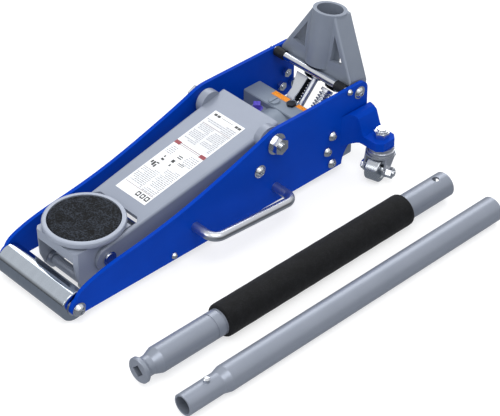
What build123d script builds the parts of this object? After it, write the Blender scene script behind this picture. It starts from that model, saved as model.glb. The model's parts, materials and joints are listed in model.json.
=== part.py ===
"""A low-profile hydraulic trolley jack with its two-piece handle laid beside it.

Millimetres, +Z up, +X towards the saddle end, +Y towards the jack's left side.
The origin is on the floor, in the middle of the footprint of the jack and its handle.
Most pieces are drawn in the jack's own coordinates: x forward from the front axle,
y from the mid-plane between the side plates, z from the floor.
"""

import os
from math import cos, radians, sin

from build123d import *

# --- where the jack stands in the frame -------------------------------------------------
AXLE_X = 230.6  # front axle, forward of the origin
JACK_Y = -71.5  # mid-plane of the jack

# --- side plates ------------------------------------------------------------------------
PLATE_OUT = 66.7  # mid-plane to the outer face
PLATE_T = 5.0
PLATE_IN = PLATE_OUT - PLATE_T
PLATE_TOP = 117.6
PLATE_LOW = 10.5
PLATE_REAR = -460.0

# --- pivots and cross members, as (x, z) --------------------------------------------------
AXLE = (0.0, 19.1)
ARM_PIVOT = (-304.0, 98.0)
SADDLE_PIN = (-66.5, 41.0)
LINK_REAR = (-278.0, 70.0)
LINK_FRONT = (SADDLE_PIN[0] + LINK_REAR[0] - ARM_PIVOT[0], SADDLE_PIN[1] + LINK_REAR[1] - ARM_PIVOT[1])
SOCKET_PIVOT = (-445.0, 105.0)
STOP_ROD = (-427.4, 113.0)
TIE_ROD = (-141.5, 18.0)
UNIT_SCREWS = ((-399.5, 62.0), (-391.5, 42.0), (-399.5, 21.0))
BRACKET_NUTS = ((-444.0, 74.0), (-455.0, 54.0), (-435.5, 57.0))
LIFT_ANGLE = 68.0  # the arm's full travel

# --- shanks -------------------------------------------------------------------------------
AXLE_R = 6.0
ARM_BOLT_R = 9.0
LINK_BOLT_R = 6.0
SOCKET_BOLT_R = 5.0
UNIT_SCREW_R = 3.5
SMALL_SCREW_R = 2.5
NUT_STUD_R = 3.0
FIT = 0.05  # radial clearance of a shank in its hole
GAP = 0.3  # running gap between faces that slide

# --- front roller and saddle --------------------------------------------------------------
ROLLER_R = 19.1
ROLLER_HALF = 60.2
SADDLE_X = -65.7
SADDLE_TOP = 76.3
SADDLE_R = 49.2
PAD_R = 43.0
SADDLE_FOOT = 56.0  # bottom of the saddle's spigot
SPIGOT_POST_R = 9.0
BRACKET_TOP = 65.4

# --- lift arm -----------------------------------------------------------------------------
ARM_REAR = -325.0
ARM_SLOPE = 0.196  # fall of the top sheet towards the saddle
ARM_REAR_Z = 109.4
ARM_SHEET = 4.5
ARM_HALF_REAR = 49.5
ARM_HALF_FRONT = 42.0
ARM_FRONT_X = -67.0
EAR_FRONT_R = 17.5
EAR_REAR_R = 16.5
EAR_REAR_OUT = 56.0
CUT_X = -117.0  # rear edge of the opening that clears the saddle
SADDLE_PIN_R = 7.0
LABEL_X = (-293.0, -134.0)
LABEL_HALF = 26.0

# --- lever and ram ------------------------------------------------------------------------
LEVER = 56.0  # arm pivot to ram pin
LEVER_REST = radians(-90 - LIFT_ANGLE / 2)
RAM_PIN = (ARM_PIVOT[0] + LEVER * cos(LEVER_REST), ARM_PIVOT[1] + LEVER * sin(LEVER_REST))
RAM_PIN_R = 7.0
RAM_RISE = LEVER * (1 - cos(radians(LIFT_ANGLE / 2)))  # rise and fall of the pin over its arc
RAM_Z = RAM_PIN[1] - RAM_RISE / 2
RAM_R = 9.0
RAM_PLAY = 0.8  # each side of the pin in the yoke's slot
YOKE_HALF = 13.5
LEVER_IN = 14.0
LEVER_OUT = 20.0

# --- levelling links ----------------------------------------------------------------------
LINK_IN = 26.5
LINK_OUT = 31.0
LINK_EYE_R = 10.0
LINK_PIN_R = 6.0

# --- power unit ---------------------------------------------------------------------------
UNIT_TOP = 80.0
UNIT_LOW = 15.0
UNIT_FRONT = -372.0
UNIT_REAR = -440.0
UNIT_HALF = 61.5
SLOPE_SUM = 479.6  # height less x, anywhere on the sloping rear face
RAM_END = -419.5
CYLINDER_R = 32.0
CYLINDER_FRONT = -353.0
GLAND_FRONT = -348.6
VALVE_FOOT = (-411.0, 68.6)  # a point of the 45 degree rear face
VALVE_R = 4.0
PLUNGER_Y = 18.0
PLUNGER_ON = (-442.0, 88.8)  # a point of the plungers' axes
PLUNGER_R = 5.0
CAP_AT = 2.4  # cap face, along the axis from PLUNGER_ON
CAP_R = 8.0
SPRING_R = 6.8
WIRE_R = 1.1

# --- handle socket, as (forward, up) in the leaning frame through its pivot -----------------
LEAN = 9.6  # degrees back from upright
SOCKET_H = 84.3
BORE_R = 16.6
BORE_STEP = 47.0  # the bore is a little narrower below this
SEAT_R = 15.9
BORE_END = 26.0
BARREL_R = 21.5
BARREL_END = 12.0
FACE_U = 11.4
BACK_U = -18.6
WEB = 6.0
LEG_OUT = 59.5
LEG_IN = 45.0
CAM = (-4.0, -16.0)  # cam centre from the pivot, not leaning
CAM_PIN_R = 3.5
CAM_ROLLER_R = 6.0

# --- casters --------------------------------------------------------------------------------
EAR_TOP = 57.0
EAR_LOW = 45.0
EAR_OUT = 118.0
SWIVEL = (-448.5, 104.0)  # x, distance from the mid-plane
CASTER_R = 16.0
CASTER_HALF = 9.0
HUB_HALF = 12.4
CHEEK = 14.0  # swivel axis to the middle of each cheek of the fork
CASTER_TRAIL = 11.0
CASTER_TURN = radians(16)  # how far the fork has swung outwards from trailing straight
CROWN = 33.2  # underside of the fork's crown
CROWN_R = 19.0
KING_R = 6.0
CASTER_AXLE_R = 3.5

# --- carry handle ---------------------------------------------------------------------------
CARRY_FRONT = (-175.0, 43.0)
CARRY_REAR = (-304.0, 34.0)
CARRY_OUT = 100.0
CARRY_R = 6.0

# --- handle pieces --------------------------------------------------------------------------
TUBE_R = 16.0
TUBE_IN = 13.5
SPIGOT_R = 13.3
FOAM_R = 20.5
LOWER_Y = 190.5
UPPER_Y = 259.5
LOWER_FRONT = 18.9
LOWER_REAR = -470.0
UPPER_FRONT = 15.8
UPPER_REAR = -479.5
FOAM_FRONT = -100.0
FOAM_REAR = -397.0
BUTTON_X = -18.6
BUTTON_R = 4.0

LEFT = Vector(0, 1, 0)
UP = Vector(0, 0, 1)
AHEAD = Vector(1, 0, 0)
SIDES = (("left", 1), ("right", -1))

BORE_UP = Vector(-sin(radians(LEAN)), 0, cos(radians(LEAN)))
BORE_AHEAD = Vector(cos(radians(LEAN)), 0, sin(radians(LEAN)))
INTO_UNIT = Vector(sin(radians(45)), 0, -cos(radians(45)))  # square to the power unit's rear face


def side(y=0.0):
    """Upright plane along the jack: local x forward, local y up, facing the right side."""
    return Plane(origin=(AXLE_X, JACK_Y + y, 0), x_dir=(1, 0, 0), z_dir=(0, -1, 0))


def level(z):
    """Horizontal plane over the jack: local x forward, local y towards the left side."""
    return Plane(origin=(AXLE_X, JACK_Y, z), x_dir=(1, 0, 0), z_dir=(0, 0, 1))


def across(x):
    """Upright plane across the jack: local x towards the left side, local y up, facing forward."""
    return Plane(origin=(AXLE_X + x, JACK_Y, 0), x_dir=(0, 1, 0), z_dir=(1, 0, 0))


def at(x, y, z):
    """A point given in the jack's coordinates."""
    return Vector(AXLE_X + x, JACK_Y + y, z)


def socket_face(forward):
    """Plane along the leaning socket: local x towards the left, local y up the bore."""
    here = at(SOCKET_PIVOT[0], 0, SOCKET_PIVOT[1]) + BORE_AHEAD * forward
    return Plane(origin=here, x_dir=(0, 1, 0), z_dir=BORE_AHEAD)


def socket_side(y):
    """Upright plane along the leaning socket: local x forward, local y up the bore."""
    return Plane(origin=at(SOCKET_PIVOT[0], y, SOCKET_PIVOT[1]), x_dir=BORE_AHEAD, z_dir=(0, -1, 0))


def outer_face(s, inner, outer):
    """The y of the plane to extrude a slab from, when it lies between inner and outer of side s."""
    return outer if s > 0 else -inner


def turned(start, along, *profile, mode=Mode.ADD):
    """Turn a profile of (distance along, radius) points about the line that leaves start."""
    sideways = AHEAD if abs(along.X) < 0.5 else LEFT
    with BuildSketch(Plane(origin=start, x_dir=along, z_dir=along.cross(sideways))) as half:
        with BuildLine():
            Polyline(*profile, close=True)
        make_face()
    revolve(half.sketch, axis=Axis(start, along), mode=mode)


def rod(start, along, length, radius, mode=Mode.ADD):
    """A plain round bar from start."""
    turned(start, along, (0, 0), (0, radius), (length, radius), (length, 0), mode=mode)


def ring(start, along, length, outer, inner):
    """A plain tube or washer from start."""
    turned(start, along, (0, inner), (0, outer), (length, outer), (length, inner))


def prism(start, along, length, flats, sides=6, mode=Mode.ADD):
    """A hexagonal or square bar, given by its width across the flats."""
    with BuildSketch(Plane(origin=start, z_dir=along)) as outline:
        RegularPolygon(flats / 2, sides, major_radius=False)
    extrude(outline.sketch, amount=length, mode=mode)


def button_head(start, along, radius, height, shank, length):
    """A domed screw head standing on start, with its hex socket, and the shank behind it."""
    turned(
        start, along, (-length, 0), (-length, shank), (0, shank), (0, radius), (0.35 * height, radius),
        (0.8 * height, 0.72 * radius), (height, 0.45 * radius), (height, 0),
    )
    prism(start + along * (0.4 * height), along, height, 0.7 * radius, mode=Mode.SUBTRACT)


def plank(start, end, half):
    """The corners of a straight strip from start to end."""
    run = ((end[0] - start[0]) ** 2 + (end[1] - start[1]) ** 2) ** 0.5
    nx = -(end[1] - start[1]) / run * half
    nz = (end[0] - start[0]) / run * half
    return (
        (start[0] + nx, start[1] + nz),
        (end[0] + nx, end[1] + nz),
        (end[0] - nx, end[1] - nz),
        (start[0] - nx, start[1] - nz),
    )


def slab(plane, corners, thickness, mode=Mode.ADD):
    """A flat plate from a polygon, off the back of its plane's facing side."""
    with BuildSketch(plane) as outline:
        with BuildLine():
            Polyline(*corners, close=True)
        make_face()
    extrude(outline.sketch, amount=thickness, mode=mode)


def finish(built, name):
    """Label a finished piece and write it."""
    built.part.label = name
    export_step(built.part, f"parts/{name}.step")


# --- side plates and what is welded to them ---------------------------------------------------


def side_plate(word, s):
    """One folded-free side plate, cut to the jack's silhouette, with its holes."""
    holes = (
        (AXLE, AXLE_R), (TIE_ROD, SMALL_SCREW_R), (STOP_ROD, SMALL_SCREW_R), (ARM_PIVOT, ARM_BOLT_R),
        (LINK_REAR, LINK_BOLT_R), (SOCKET_PIVOT, SOCKET_BOLT_R), *((p, UNIT_SCREW_R) for p in UNIT_SCREWS),
        *((p, NUT_STUD_R) for p in BRACKET_NUTS),
    )
    with BuildPart() as plate:
        with BuildSketch(side(outer_face(s, PLATE_IN, PLATE_OUT))):
            with BuildLine():
                Polyline((3, PLATE_LOW), (-418, PLATE_LOW))
                ThreePointArc((-418, PLATE_LOW), (-422.5, 26), (-433.5, 37))
                Polyline((-433.5, 37), (PLATE_REAR, 37), (PLATE_REAR, PLATE_TOP - 12))
                ThreePointArc(
                    (PLATE_REAR, PLATE_TOP - 12), (PLATE_REAR + 3.5, PLATE_TOP - 3.5), (PLATE_REAR + 12, PLATE_TOP),
                )
                Line((PLATE_REAR + 12, PLATE_TOP), (-311, PLATE_TOP))
                Spline(
                    (-311, PLATE_TOP), (-285, 111.5), (-220, 90), (-150, 71), (-90, 60.5), (-40, 53), (-14, 45.5),
                    (2, 33), tangents=((1, 0), (0.45, -0.9)),
                )
                ThreePointArc((2, 33), (10, 21), (3, PLATE_LOW))
            make_face()
            for point, radius in holes:
                with Locations(point):
                    Circle(radius + FIT, mode=Mode.SUBTRACT)
        extrude(amount=PLATE_T)
    finish(plate, f"side_plate_{word}")


def caster_bracket(word, s):
    """The cast ear that carries a caster, blended down from the side plate."""
    section = (
        (PLATE_OUT, 84), (76, 82.5), (81, 79), (84.5, 70), (87.5, 62), (90.5, EAR_TOP), (EAR_OUT, EAR_TOP),
        (EAR_OUT, EAR_LOW), (84, EAR_LOW), (PLATE_OUT, 37),
    )
    plan = (
        (-464, PLATE_OUT), (-463, 76), (-463, EAR_OUT - 7), (-457, EAR_OUT), (-438, EAR_OUT), (-431, EAR_OUT - 7),
        (-431, 88), (-430, 79), (-426.5, 72.5), (-421, 68.5), (-415, PLATE_OUT),
    )
    with BuildPart() as bracket:
        slab(across(-470), [(s * y, z) for y, z in section], 58)
        slab(level(30), [(x, s * y) for x, y in plan], 60, mode=Mode.INTERSECT)
        top = bracket.edges().filter_by(lambda e: e.center().Z > EAR_TOP + 6 and e.length > 5)
        try:
            fillet(top.filter_by(Axis.X), 3)
        except ValueError:
            print("caster bracket left sharp")
        rod(at(SWIVEL[0], s * SWIVEL[1], 0), UP, 90, KING_R + FIT, mode=Mode.SUBTRACT)
    finish(bracket, f"caster_bracket_{word}")


def bracket_nuts():
    """The nuts, inside the plates, on the studs of the caster brackets."""
    with BuildPart() as nuts:
        for _, s in SIDES:
            for x, z in BRACKET_NUTS:
                prism(at(x, s * PLATE_IN, z), LEFT * -s, 6, 11)
                rod(at(x, s * PLATE_OUT, z), LEFT * -s, 13, NUT_STUD_R)
    finish(nuts, "bracket_nuts")


def carry_handle():
    """The round bar on the left plate."""
    start = at(CARRY_FRONT[0], PLATE_OUT, CARRY_FRONT[1])
    bar = at(CARRY_REAR[0], PLATE_OUT, CARRY_REAR[1]) - start
    reach = CARRY_OUT - PLATE_OUT
    along = bar.normalized()
    with BuildPart() as handle:
        with BuildLine(Plane(origin=start, x_dir=along, z_dir=along.cross(LEFT))) as path:
            FilletPolyline((0, 0), (0, reach), (bar.length, reach), (bar.length, 0), radius=13)
        with BuildSketch(Plane(origin=path.line @ 0, z_dir=path.line % 0)):
            Circle(CARRY_R)
        sweep(path=path.line)
    finish(handle, "carry_handle")


# --- cross members and fasteners ---------------------------------------------------------------


def front_axle():
    """The shaft the roller turns on, tapped at both ends."""
    with BuildPart() as axle:
        rod(at(AXLE[0], -PLATE_OUT, AXLE[1]), LEFT, 2 * PLATE_OUT, AXLE_R)
        for _, s in SIDES:
            rod(at(AXLE[0], s * PLATE_OUT, AXLE[1]), LEFT * -s, 12, 4, mode=Mode.SUBTRACT)
    finish(axle, "front_axle")


def roller_washers():
    """A thrust washer at each end of the roller."""
    with BuildPart() as washers:
        for _, s in SIDES:
            ring(at(AXLE[0], s * (ROLLER_HALF + 0.2), AXLE[1]), LEFT * s, 1.2, 11, AXLE_R + FIT)
    finish(washers, "roller_washers")


def front_roller():
    """The steel roller."""
    with BuildPart() as roller:
        length = 2 * ROLLER_HALF
        turned(
            at(AXLE[0], -ROLLER_HALF, AXLE[1]), LEFT, (0, AXLE_R + FIT), (0, ROLLER_R - 1), (1, ROLLER_R),
            (length - 1, ROLLER_R), (length, ROLLER_R - 1), (length, AXLE_R + FIT),
        )
    finish(roller, "front_roller")


def cross_rods():
    """The low tie rod and the chromed rod the handle socket rests against."""
    for name, (x, z), radius in (("tie_rod", TIE_ROD, 6), ("stop_rod", STOP_ROD, 5)):
        with BuildPart() as bar:
            rod(at(x, -PLATE_IN, z), LEFT, 2 * PLATE_IN, radius)
            for _, s in SIDES:
                rod(at(x, s * PLATE_IN, z), LEFT * -s, 14, SMALL_SCREW_R + FIT, mode=Mode.SUBTRACT)
        finish(bar, name)
    with BuildPart() as sleeves:
        for _, s in SIDES:
            ring(at(STOP_ROD[0], s * 45, STOP_ROD[1]), LEFT * s, 15, 6.5, 5 + FIT)
    finish(sleeves, "rod_sleeves")


def plate_screws():
    """The domed screws on the outside of both plates."""
    groups = (
        ("axle_screws", (AXLE,), 7.5, 6.5, 4 - FIT, 11),
        ("unit_screws", UNIT_SCREWS, 6.5, 5.6, UNIT_SCREW_R, 14),
        ("small_screws", (TIE_ROD, STOP_ROD), 4.2, 4.2, SMALL_SCREW_R, 16),
        ("link_bolts", (LINK_REAR,), 7, 5.5, LINK_BOLT_R, PLATE_OUT - LINK_IN + 0.5),
        ("socket_bolts", (SOCKET_PIVOT,), 7, 5, SOCKET_BOLT_R, PLATE_OUT - LEG_IN + 0.5),
    )
    for name, points, radius, height, shank, length in groups:
        with BuildPart() as screws:
            for _, s in SIDES:
                for x, z in points:
                    button_head(at(x, s * PLATE_OUT, z), LEFT * s, radius, height, shank, length)
                    if radius > 6.6:
                        rod(at(x, s * PLATE_OUT, z), LEFT * s, 1.2, radius + 1.6)
        finish(screws, name)


def arm_pivots():
    """The stub bolts the lift arm swings on, with their broad washers and nuts."""
    x, z = ARM_PIVOT
    with BuildPart() as washers:
        for _, s in SIDES:
            ring(at(x, s * PLATE_OUT, z), LEFT * s, 2.5, 14, ARM_BOLT_R + FIT)
    finish(washers, "arm_washers")
    with BuildPart() as bolts:
        for _, s in SIDES:
            rod(at(x, s * 46, z), LEFT * s, PLATE_OUT + 3 - 46, ARM_BOLT_R)
            rod(at(x, s * PLATE_OUT, z), LEFT * s, 14.5, 5.8)
            prism(at(x, s * (PLATE_OUT + 2.5), z), LEFT * s, 9, 19)
            rod(at(x, s * (EAR_REAR_OUT + GAP), z), LEFT * s, PLATE_IN - EAR_REAR_OUT - 2 * GAP, 13)
    finish(bolts, "arm_bolts")


# --- lift arm and what rides on it ---------------------------------------------------------------


def arm_top(x):
    """Height of the arm's top sheet."""
    return ARM_REAR_Z - ARM_SLOPE * (x - ARM_REAR)


def arm_half(x, wall=0.0):
    """Half the arm's width, less a wall."""
    part = (x - ARM_REAR) / (ARM_FRONT_X - ARM_REAR)
    return ARM_HALF_REAR + (ARM_HALF_FRONT - ARM_HALF_REAR) * part - wall


def lift_arm():
    """The tapering channel, open below and open at the front under the saddle."""
    behind, ahead = ARM_REAR - 30, 20
    with BuildPart() as hollow:
        roof = ((behind, arm_top(behind) - ARM_SHEET), (ahead, arm_top(ahead) - ARM_SHEET), (ahead, 0), (behind, 0))
        slab(side(70), roof, 140)
        room = [
            (behind, arm_half(behind, ARM_SHEET)), (ahead, arm_half(ahead, ARM_SHEET)),
            (ahead, -arm_half(ahead, ARM_SHEET)), (behind, -arm_half(behind, ARM_SHEET)),
        ]
        slab(level(0), room, 200, mode=Mode.INTERSECT)
    with BuildPart() as opening:
        half = arm_half(CUT_X, ARM_SHEET)
        mouth = (
            (CUT_X, half - 6), (CUT_X + 6, half), (ahead, arm_half(ahead, ARM_SHEET)),
            (ahead, -arm_half(ahead, ARM_SHEET)), (CUT_X + 6, -half), (CUT_X, 6 - half),
        )
        slab(level(0), mouth, 200)
    bx, bz = SADDLE_PIN
    with BuildPart() as arm:
        with BuildSketch(side(70)):
            with BuildLine():
                Polyline((ARM_REAR, ARM_REAR_Z), (-68, arm_top(-68)), (-59, 56.5))
                ThreePointArc((-59, 56.5), (bx + EAR_FRONT_R, bz), (-69.5, 23.77))
                Polyline(
                    (-69.5, 23.77), (-110, 31), (-235, 62), (-262, 78), (-274, 83), (-290, 79.5), (-304, 77.5),
                    (-325, 87), (ARM_REAR, ARM_REAR_Z),
                )
            make_face()
        extrude(amount=140)
        plan = (
            (behind, arm_half(behind)), (ahead, arm_half(ahead)), (ahead, -arm_half(ahead)), (behind, -arm_half(behind)),
        )
        slab(level(0), plan, 200, mode=Mode.INTERSECT)
        fillet(arm.edges().filter_by(lambda e: e.length > 200), 4.4)
        add(hollow.part, mode=Mode.SUBTRACT)
        add(opening.part, mode=Mode.SUBTRACT)
        for _, s in SIDES:
            rod(at(ARM_PIVOT[0], s * (LEG_IN + 0.5), ARM_PIVOT[1]), LEFT * s, EAR_REAR_OUT - LEG_IN - 0.5, EAR_REAR_R)
            rod(at(ARM_PIVOT[0], s * 45.8, ARM_PIVOT[1]), LEFT * s, 14, ARM_BOLT_R + FIT, mode=Mode.SUBTRACT)
        rod(at(bx, -70, bz), LEFT, 140, SADDLE_PIN_R + FIT, mode=Mode.SUBTRACT)
    finish(arm, "lift_arm")


def arm_label():
    """The printed label on the arm, slightly proud of the sheet."""
    rear, front = LABEL_X
    with BuildPart() as label:
        slab(
            side(LABEL_HALF),
            ((rear, arm_top(rear)), (front, arm_top(front)), (front, arm_top(front) + 0.4), (rear, arm_top(rear) + 0.4)),
            2 * LABEL_HALF,
        )
    finish(label, "arm_label")


def ram_lever():
    """The forked lever hanging from the arm, and the pin the ram pushes."""
    rear, front = -322, -286
    roof_rear, roof_front = arm_top(rear) - ARM_SHEET, arm_top(front) - ARM_SHEET
    with BuildPart() as lever:
        for s in (1, -1):
            y = outer_face(s, LEVER_IN, LEVER_OUT)
            with BuildSketch(side(y)):
                with BuildLine():
                    Polyline((rear, roof_rear), (front, roof_front), (-324.6, 46), (-347, 55), close=True)
                make_face()
                with Locations(RAM_PIN):
                    Circle(12)
            extrude(amount=LEVER_OUT - LEVER_IN)
        slab(
            side(LEVER_OUT),
            ((rear, roof_rear), (front, roof_front), (front, roof_front - 6), (rear, roof_rear - 6)), 2 * LEVER_OUT,
        )
        rod(at(RAM_PIN[0], -40, RAM_PIN[1]), LEFT, 80, RAM_PIN_R + FIT, mode=Mode.SUBTRACT)
    finish(lever, "ram_lever")
    with BuildPart() as pin:
        rod(at(RAM_PIN[0], -LEVER_OUT - 3, RAM_PIN[1]), LEFT, 2 * LEVER_OUT + 6, RAM_PIN_R)
        for _, s in SIDES:
            ring(at(RAM_PIN[0], s * (LEVER_OUT + 0.1), RAM_PIN[1]), LEFT * s, 1.4, 9, 6)
    finish(pin, "ram_pin")


def saddle_pin():
    """The pin the saddle bracket hangs on, with a ring at each end."""
    x, z = SADDLE_PIN
    with BuildPart() as pin:
        rod(at(x, -44.5, z), LEFT, 89, SADDLE_PIN_R)
        for _, s in SIDES:
            ring(at(x, s * 42.3, z), LEFT * s, 1.3, 9, 6)
    finish(pin, "saddle_pin")


def level_links():
    """The two bars that keep the saddle level."""
    for word, s in SIDES:
        with BuildPart() as link:
            with BuildSketch(side(outer_face(s, LINK_IN, LINK_OUT))):
                with BuildLine():
                    Polyline(*plank(LINK_REAR, LINK_FRONT, 8), close=True)
                make_face()
                with Locations(LINK_REAR, LINK_FRONT):
                    Circle(LINK_EYE_R)
                with Locations(LINK_REAR):
                    Circle(LINK_BOLT_R + FIT, mode=Mode.SUBTRACT)
                with Locations(LINK_FRONT):
                    Circle(LINK_PIN_R + GAP, mode=Mode.SUBTRACT)
            extrude(amount=LINK_OUT - LINK_IN)
        finish(link, f"level_link_{word}")


def saddle_bracket():
    """The folded bracket under the saddle: a top with a lip and two cheeks."""
    front, rear, half, cheek = -22, -104, 36.5, 31.5
    low = BRACKET_TOP - 5
    with BuildPart() as bracket:
        slab(side(half), ((front, BRACKET_TOP), (rear, BRACKET_TOP), (rear, low), (front, low)), 2 * half)
        slab(side(half), ((front, BRACKET_TOP), (front - 4, BRACKET_TOP), (front - 4, 52), (front, 52)), 2 * half)
        for s in (1, -1):
            with BuildSketch(side(outer_face(s, cheek, half))):
                with BuildLine():
                    Polyline(
                        (front, BRACKET_TOP), (front, 52), (-24.7, 27.4), (-30.8, 10.8), (-49.5, 17.4), (-79, 38),
                        (-93, low), (rear, low), (rear, BRACKET_TOP), close=True,
                    )
                make_face()
                with Locations(LINK_FRONT):
                    Circle(10)
                with Locations(SADDLE_PIN):
                    Circle(13)
            extrude(amount=half - cheek)
        corners = bracket.edges().filter_by(Axis.Z).group_by(Axis.X)[-1].filter_by(lambda e: e.length > 8)
        chamfer(corners, 4)
        rod(at(SADDLE_X, 0, 50), UP, 20, SPIGOT_POST_R + FIT, mode=Mode.SUBTRACT)
        rod(at(SADDLE_PIN[0], -50, SADDLE_PIN[1]), LEFT, 100, SADDLE_PIN_R + FIT, mode=Mode.SUBTRACT)
        rod(at(LINK_FRONT[0], -50, LINK_FRONT[1]), LEFT, 100, LINK_PIN_R + FIT, mode=Mode.SUBTRACT)
    finish(bracket, "saddle_bracket")
    with BuildPart() as pin:
        rod(at(LINK_FRONT[0], -38.6, LINK_FRONT[1]), LEFT, 77.2, LINK_PIN_R)
        rod(at(LINK_FRONT[0], -LINK_IN + GAP, LINK_FRONT[1]), LEFT, 2 * (LINK_IN - GAP), 6.6)
        for _, s in SIDES:
            ring(at(LINK_FRONT[0], s * (half + 0.2), LINK_FRONT[1]), LEFT * s, 1.3, 8.5, 5)
    finish(pin, "link_pin")


def saddle():
    """The swivelling cup and the rubber pad in it."""
    top = SADDLE_TOP - SADDLE_FOOT
    base = BRACKET_TOP + 0.4 - SADDLE_FOOT
    floor = top - 5.2
    with BuildPart() as cup:
        turned(
            at(SADDLE_X, 0, SADDLE_FOOT), UP, (0, 0), (0, SPIGOT_POST_R), (base, SPIGOT_POST_R), (base, SADDLE_R - 5),
            (base + 2.4, SADDLE_R - 1.4), (base + 5, SADDLE_R), (top - 2.2, SADDLE_R), (top - 0.6, SADDLE_R - 0.8),
            (top, SADDLE_R - 2.4), (top, PAD_R + 0.4), (floor, PAD_R + 0.4), (floor, 0),
        )
    finish(cup, "saddle_cup")
    with BuildPart() as pad:
        rod(at(SADDLE_X, 0, SADDLE_FOOT + floor), UP, 4.7, PAD_R)
        fillet(pad.edges().filter_by(GeomType.CIRCLE).sort_by(Axis.Z)[-1], 1.2)
    finish(pad, "saddle_pad")


# --- power unit ------------------------------------------------------------------------------------


def along_plunger(distance, y):
    """A point of a plunger's axis."""
    return at(PLUNGER_ON[0], y, PLUNGER_ON[1]) + INTO_UNIT * distance


FACE_AT = (PLUNGER_ON[1] - PLUNGER_ON[0] - SLOPE_SUM) / 2**0.5  # the sloping face, along a plunger's axis
VALVE_RUN = at(SOCKET_PIVOT[0], 0, SOCKET_PIVOT[1]) - at(VALVE_FOOT[0], 0, VALVE_FOOT[1])
VALVE_DIR = VALVE_RUN.normalized()


def pump_block():
    """The cast block between the plates, sloping at the rear where the plungers and valve enter."""
    with BuildPart() as block:
        body = (
            (UNIT_FRONT, UNIT_LOW), (UNIT_FRONT, UNIT_TOP), (UNIT_TOP - SLOPE_SUM, UNIT_TOP),
            (UNIT_REAR, UNIT_REAR + SLOPE_SUM), (UNIT_REAR, UNIT_LOW),
        )
        slab(side(UNIT_HALF), body, 2 * UNIT_HALF)
        chamfer(block.edges().filter_by(Axis.Y), 1.2)
        rod(at(-381, -16, UNIT_TOP - 5), UP, 5.6, 8.4)
        rod(at(RAM_END - 0.5, 0, RAM_Z), AHEAD, 80, RAM_R + GAP, mode=Mode.SUBTRACT)
        valve_foot = at(VALVE_FOOT[0], 0, VALVE_FOOT[1])
        rod(valve_foot - VALVE_DIR * 8.5, VALVE_DIR, 20, VALVE_R + FIT, mode=Mode.SUBTRACT)
        for s in (1, -1):
            y = s * PLUNGER_Y
            rod(along_plunger(FACE_AT - 10, y), INTO_UNIT, 33, PLUNGER_R + FIT, mode=Mode.SUBTRACT)
            rod(along_plunger(FACE_AT - 10, y), INTO_UNIT, 20, CAP_R + 0.4, mode=Mode.SUBTRACT)
            for x, z in UNIT_SCREWS:
                rod(at(x, s * PLATE_IN, z), LEFT * -s, 10, UNIT_SCREW_R + FIT, mode=Mode.SUBTRACT)
        rod(at(-381, -16, UNIT_TOP + 1), UP * -1, 10, 4 + FIT, mode=Mode.SUBTRACT)
        rod(at(-391, 4, UNIT_TOP + 1), UP * -1, 9, 4 + FIT, mode=Mode.SUBTRACT)
    finish(block, "pump_block")


def unit_fittings():
    """The cylinder, its gland nut, the plugs, the labels and the guide strip."""
    with BuildPart() as cylinder:
        rod(at(UNIT_FRONT, 0, RAM_Z), AHEAD, CYLINDER_FRONT - UNIT_FRONT, CYLINDER_R)
        slab(level(50), ((-372, -38), (-354, -38), (-354, -18), (-372, -18)), 22)
        rod(at(UNIT_FRONT - 5, 0, RAM_Z), AHEAD, 40, RAM_R + GAP, mode=Mode.SUBTRACT)
        rod(at(-363, -28, 73), UP * -1, 9, 4 + FIT, mode=Mode.SUBTRACT)
    finish(cylinder, "reservoir")
    with BuildPart() as gland:
        prism(at(CYLINDER_FRONT, 0, RAM_Z), AHEAD, GLAND_FRONT - CYLINDER_FRONT, 38)
        rod(at(CYLINDER_FRONT - 5, 0, RAM_Z), AHEAD, 20, RAM_R + FIT, mode=Mode.SUBTRACT)
    finish(gland, "gland_nut")
    with BuildPart() as slotted:
        turned(
            at(-381, -16, UNIT_TOP + 0.6), UP, (-8, 0), (-8, 4), (0, 4), (0, 7.2), (1, 7.2), (1.6, 6.6), (1.6, 0),
        )
        slab(level(UNIT_TOP + 1.2), ((-390, -16.8), (-372, -16.8), (-372, -15.2), (-390, -15.2)), 5, mode=Mode.SUBTRACT)
    finish(slotted, "slotted_plug")
    with BuildPart() as hexed:
        prism(at(-391, 4, UNIT_TOP), UP, 3, 11)
        rod(at(-391, 4, UNIT_TOP), UP * -1, 7, 4)
    finish(hexed, "hex_plug")
    with BuildPart() as squared:
        prism(at(-363, -28, 73), UP, 7, 9, sides=4)
        rod(at(-363, -28, 72), UP, 1, 7.5)
        rod(at(-363, -28, 72), UP * -1, 7, 4)
    finish(squared, "square_plug")
    with BuildPart() as labels:
        slab(level(UNIT_TOP), ((-398.4, -31), (-390.5, -31), (-390.5, -5), (-398.4, -5)), 0.4)
        slab(level(UNIT_TOP), ((-398.4, 10), (-392.5, 10), (-392.5, 30), (-398.4, 30)), 0.4)
    finish(labels, "unit_labels")
    with BuildPart() as strip:
        run = (
            (-409.5, 70.1), (-402.5, 77.1), (-405, 81), (-430, 98.4), (-431.2, 97.2), (-407, 80), (-405.5, 76.4),
            (-410.7, 71.3),
        )
        plan = ((-400, -5), (-412, -5), (-432, -7), (-432, -27), (-412, -17), (-400, -17))
        slab(side(-3), run, 26)
        slab(level(60), plan, 60, mode=Mode.INTERSECT)
    finish(strip, "guide_strip")


def ram():
    """The ram with the slotted yoke that drives the lever."""
    x = RAM_PIN[0]
    wide = RAM_PIN_R + RAM_PLAY
    with BuildPart() as piston:
        rod(at(RAM_END, 0, RAM_Z), AHEAD, x - wide - 5 - RAM_END + 1, RAM_R)
        with BuildSketch(side(YOKE_HALF)):
            with Locations((x, RAM_Z)):
                RectangleRounded(2 * wide + 10, 37, 4)
                RectangleRounded(2 * wide, RAM_RISE + 2 * RAM_PIN_R + 0.8, wide - 0.2, mode=Mode.SUBTRACT)
        extrude(amount=2 * YOKE_HALF)
    finish(piston, "ram")


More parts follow.
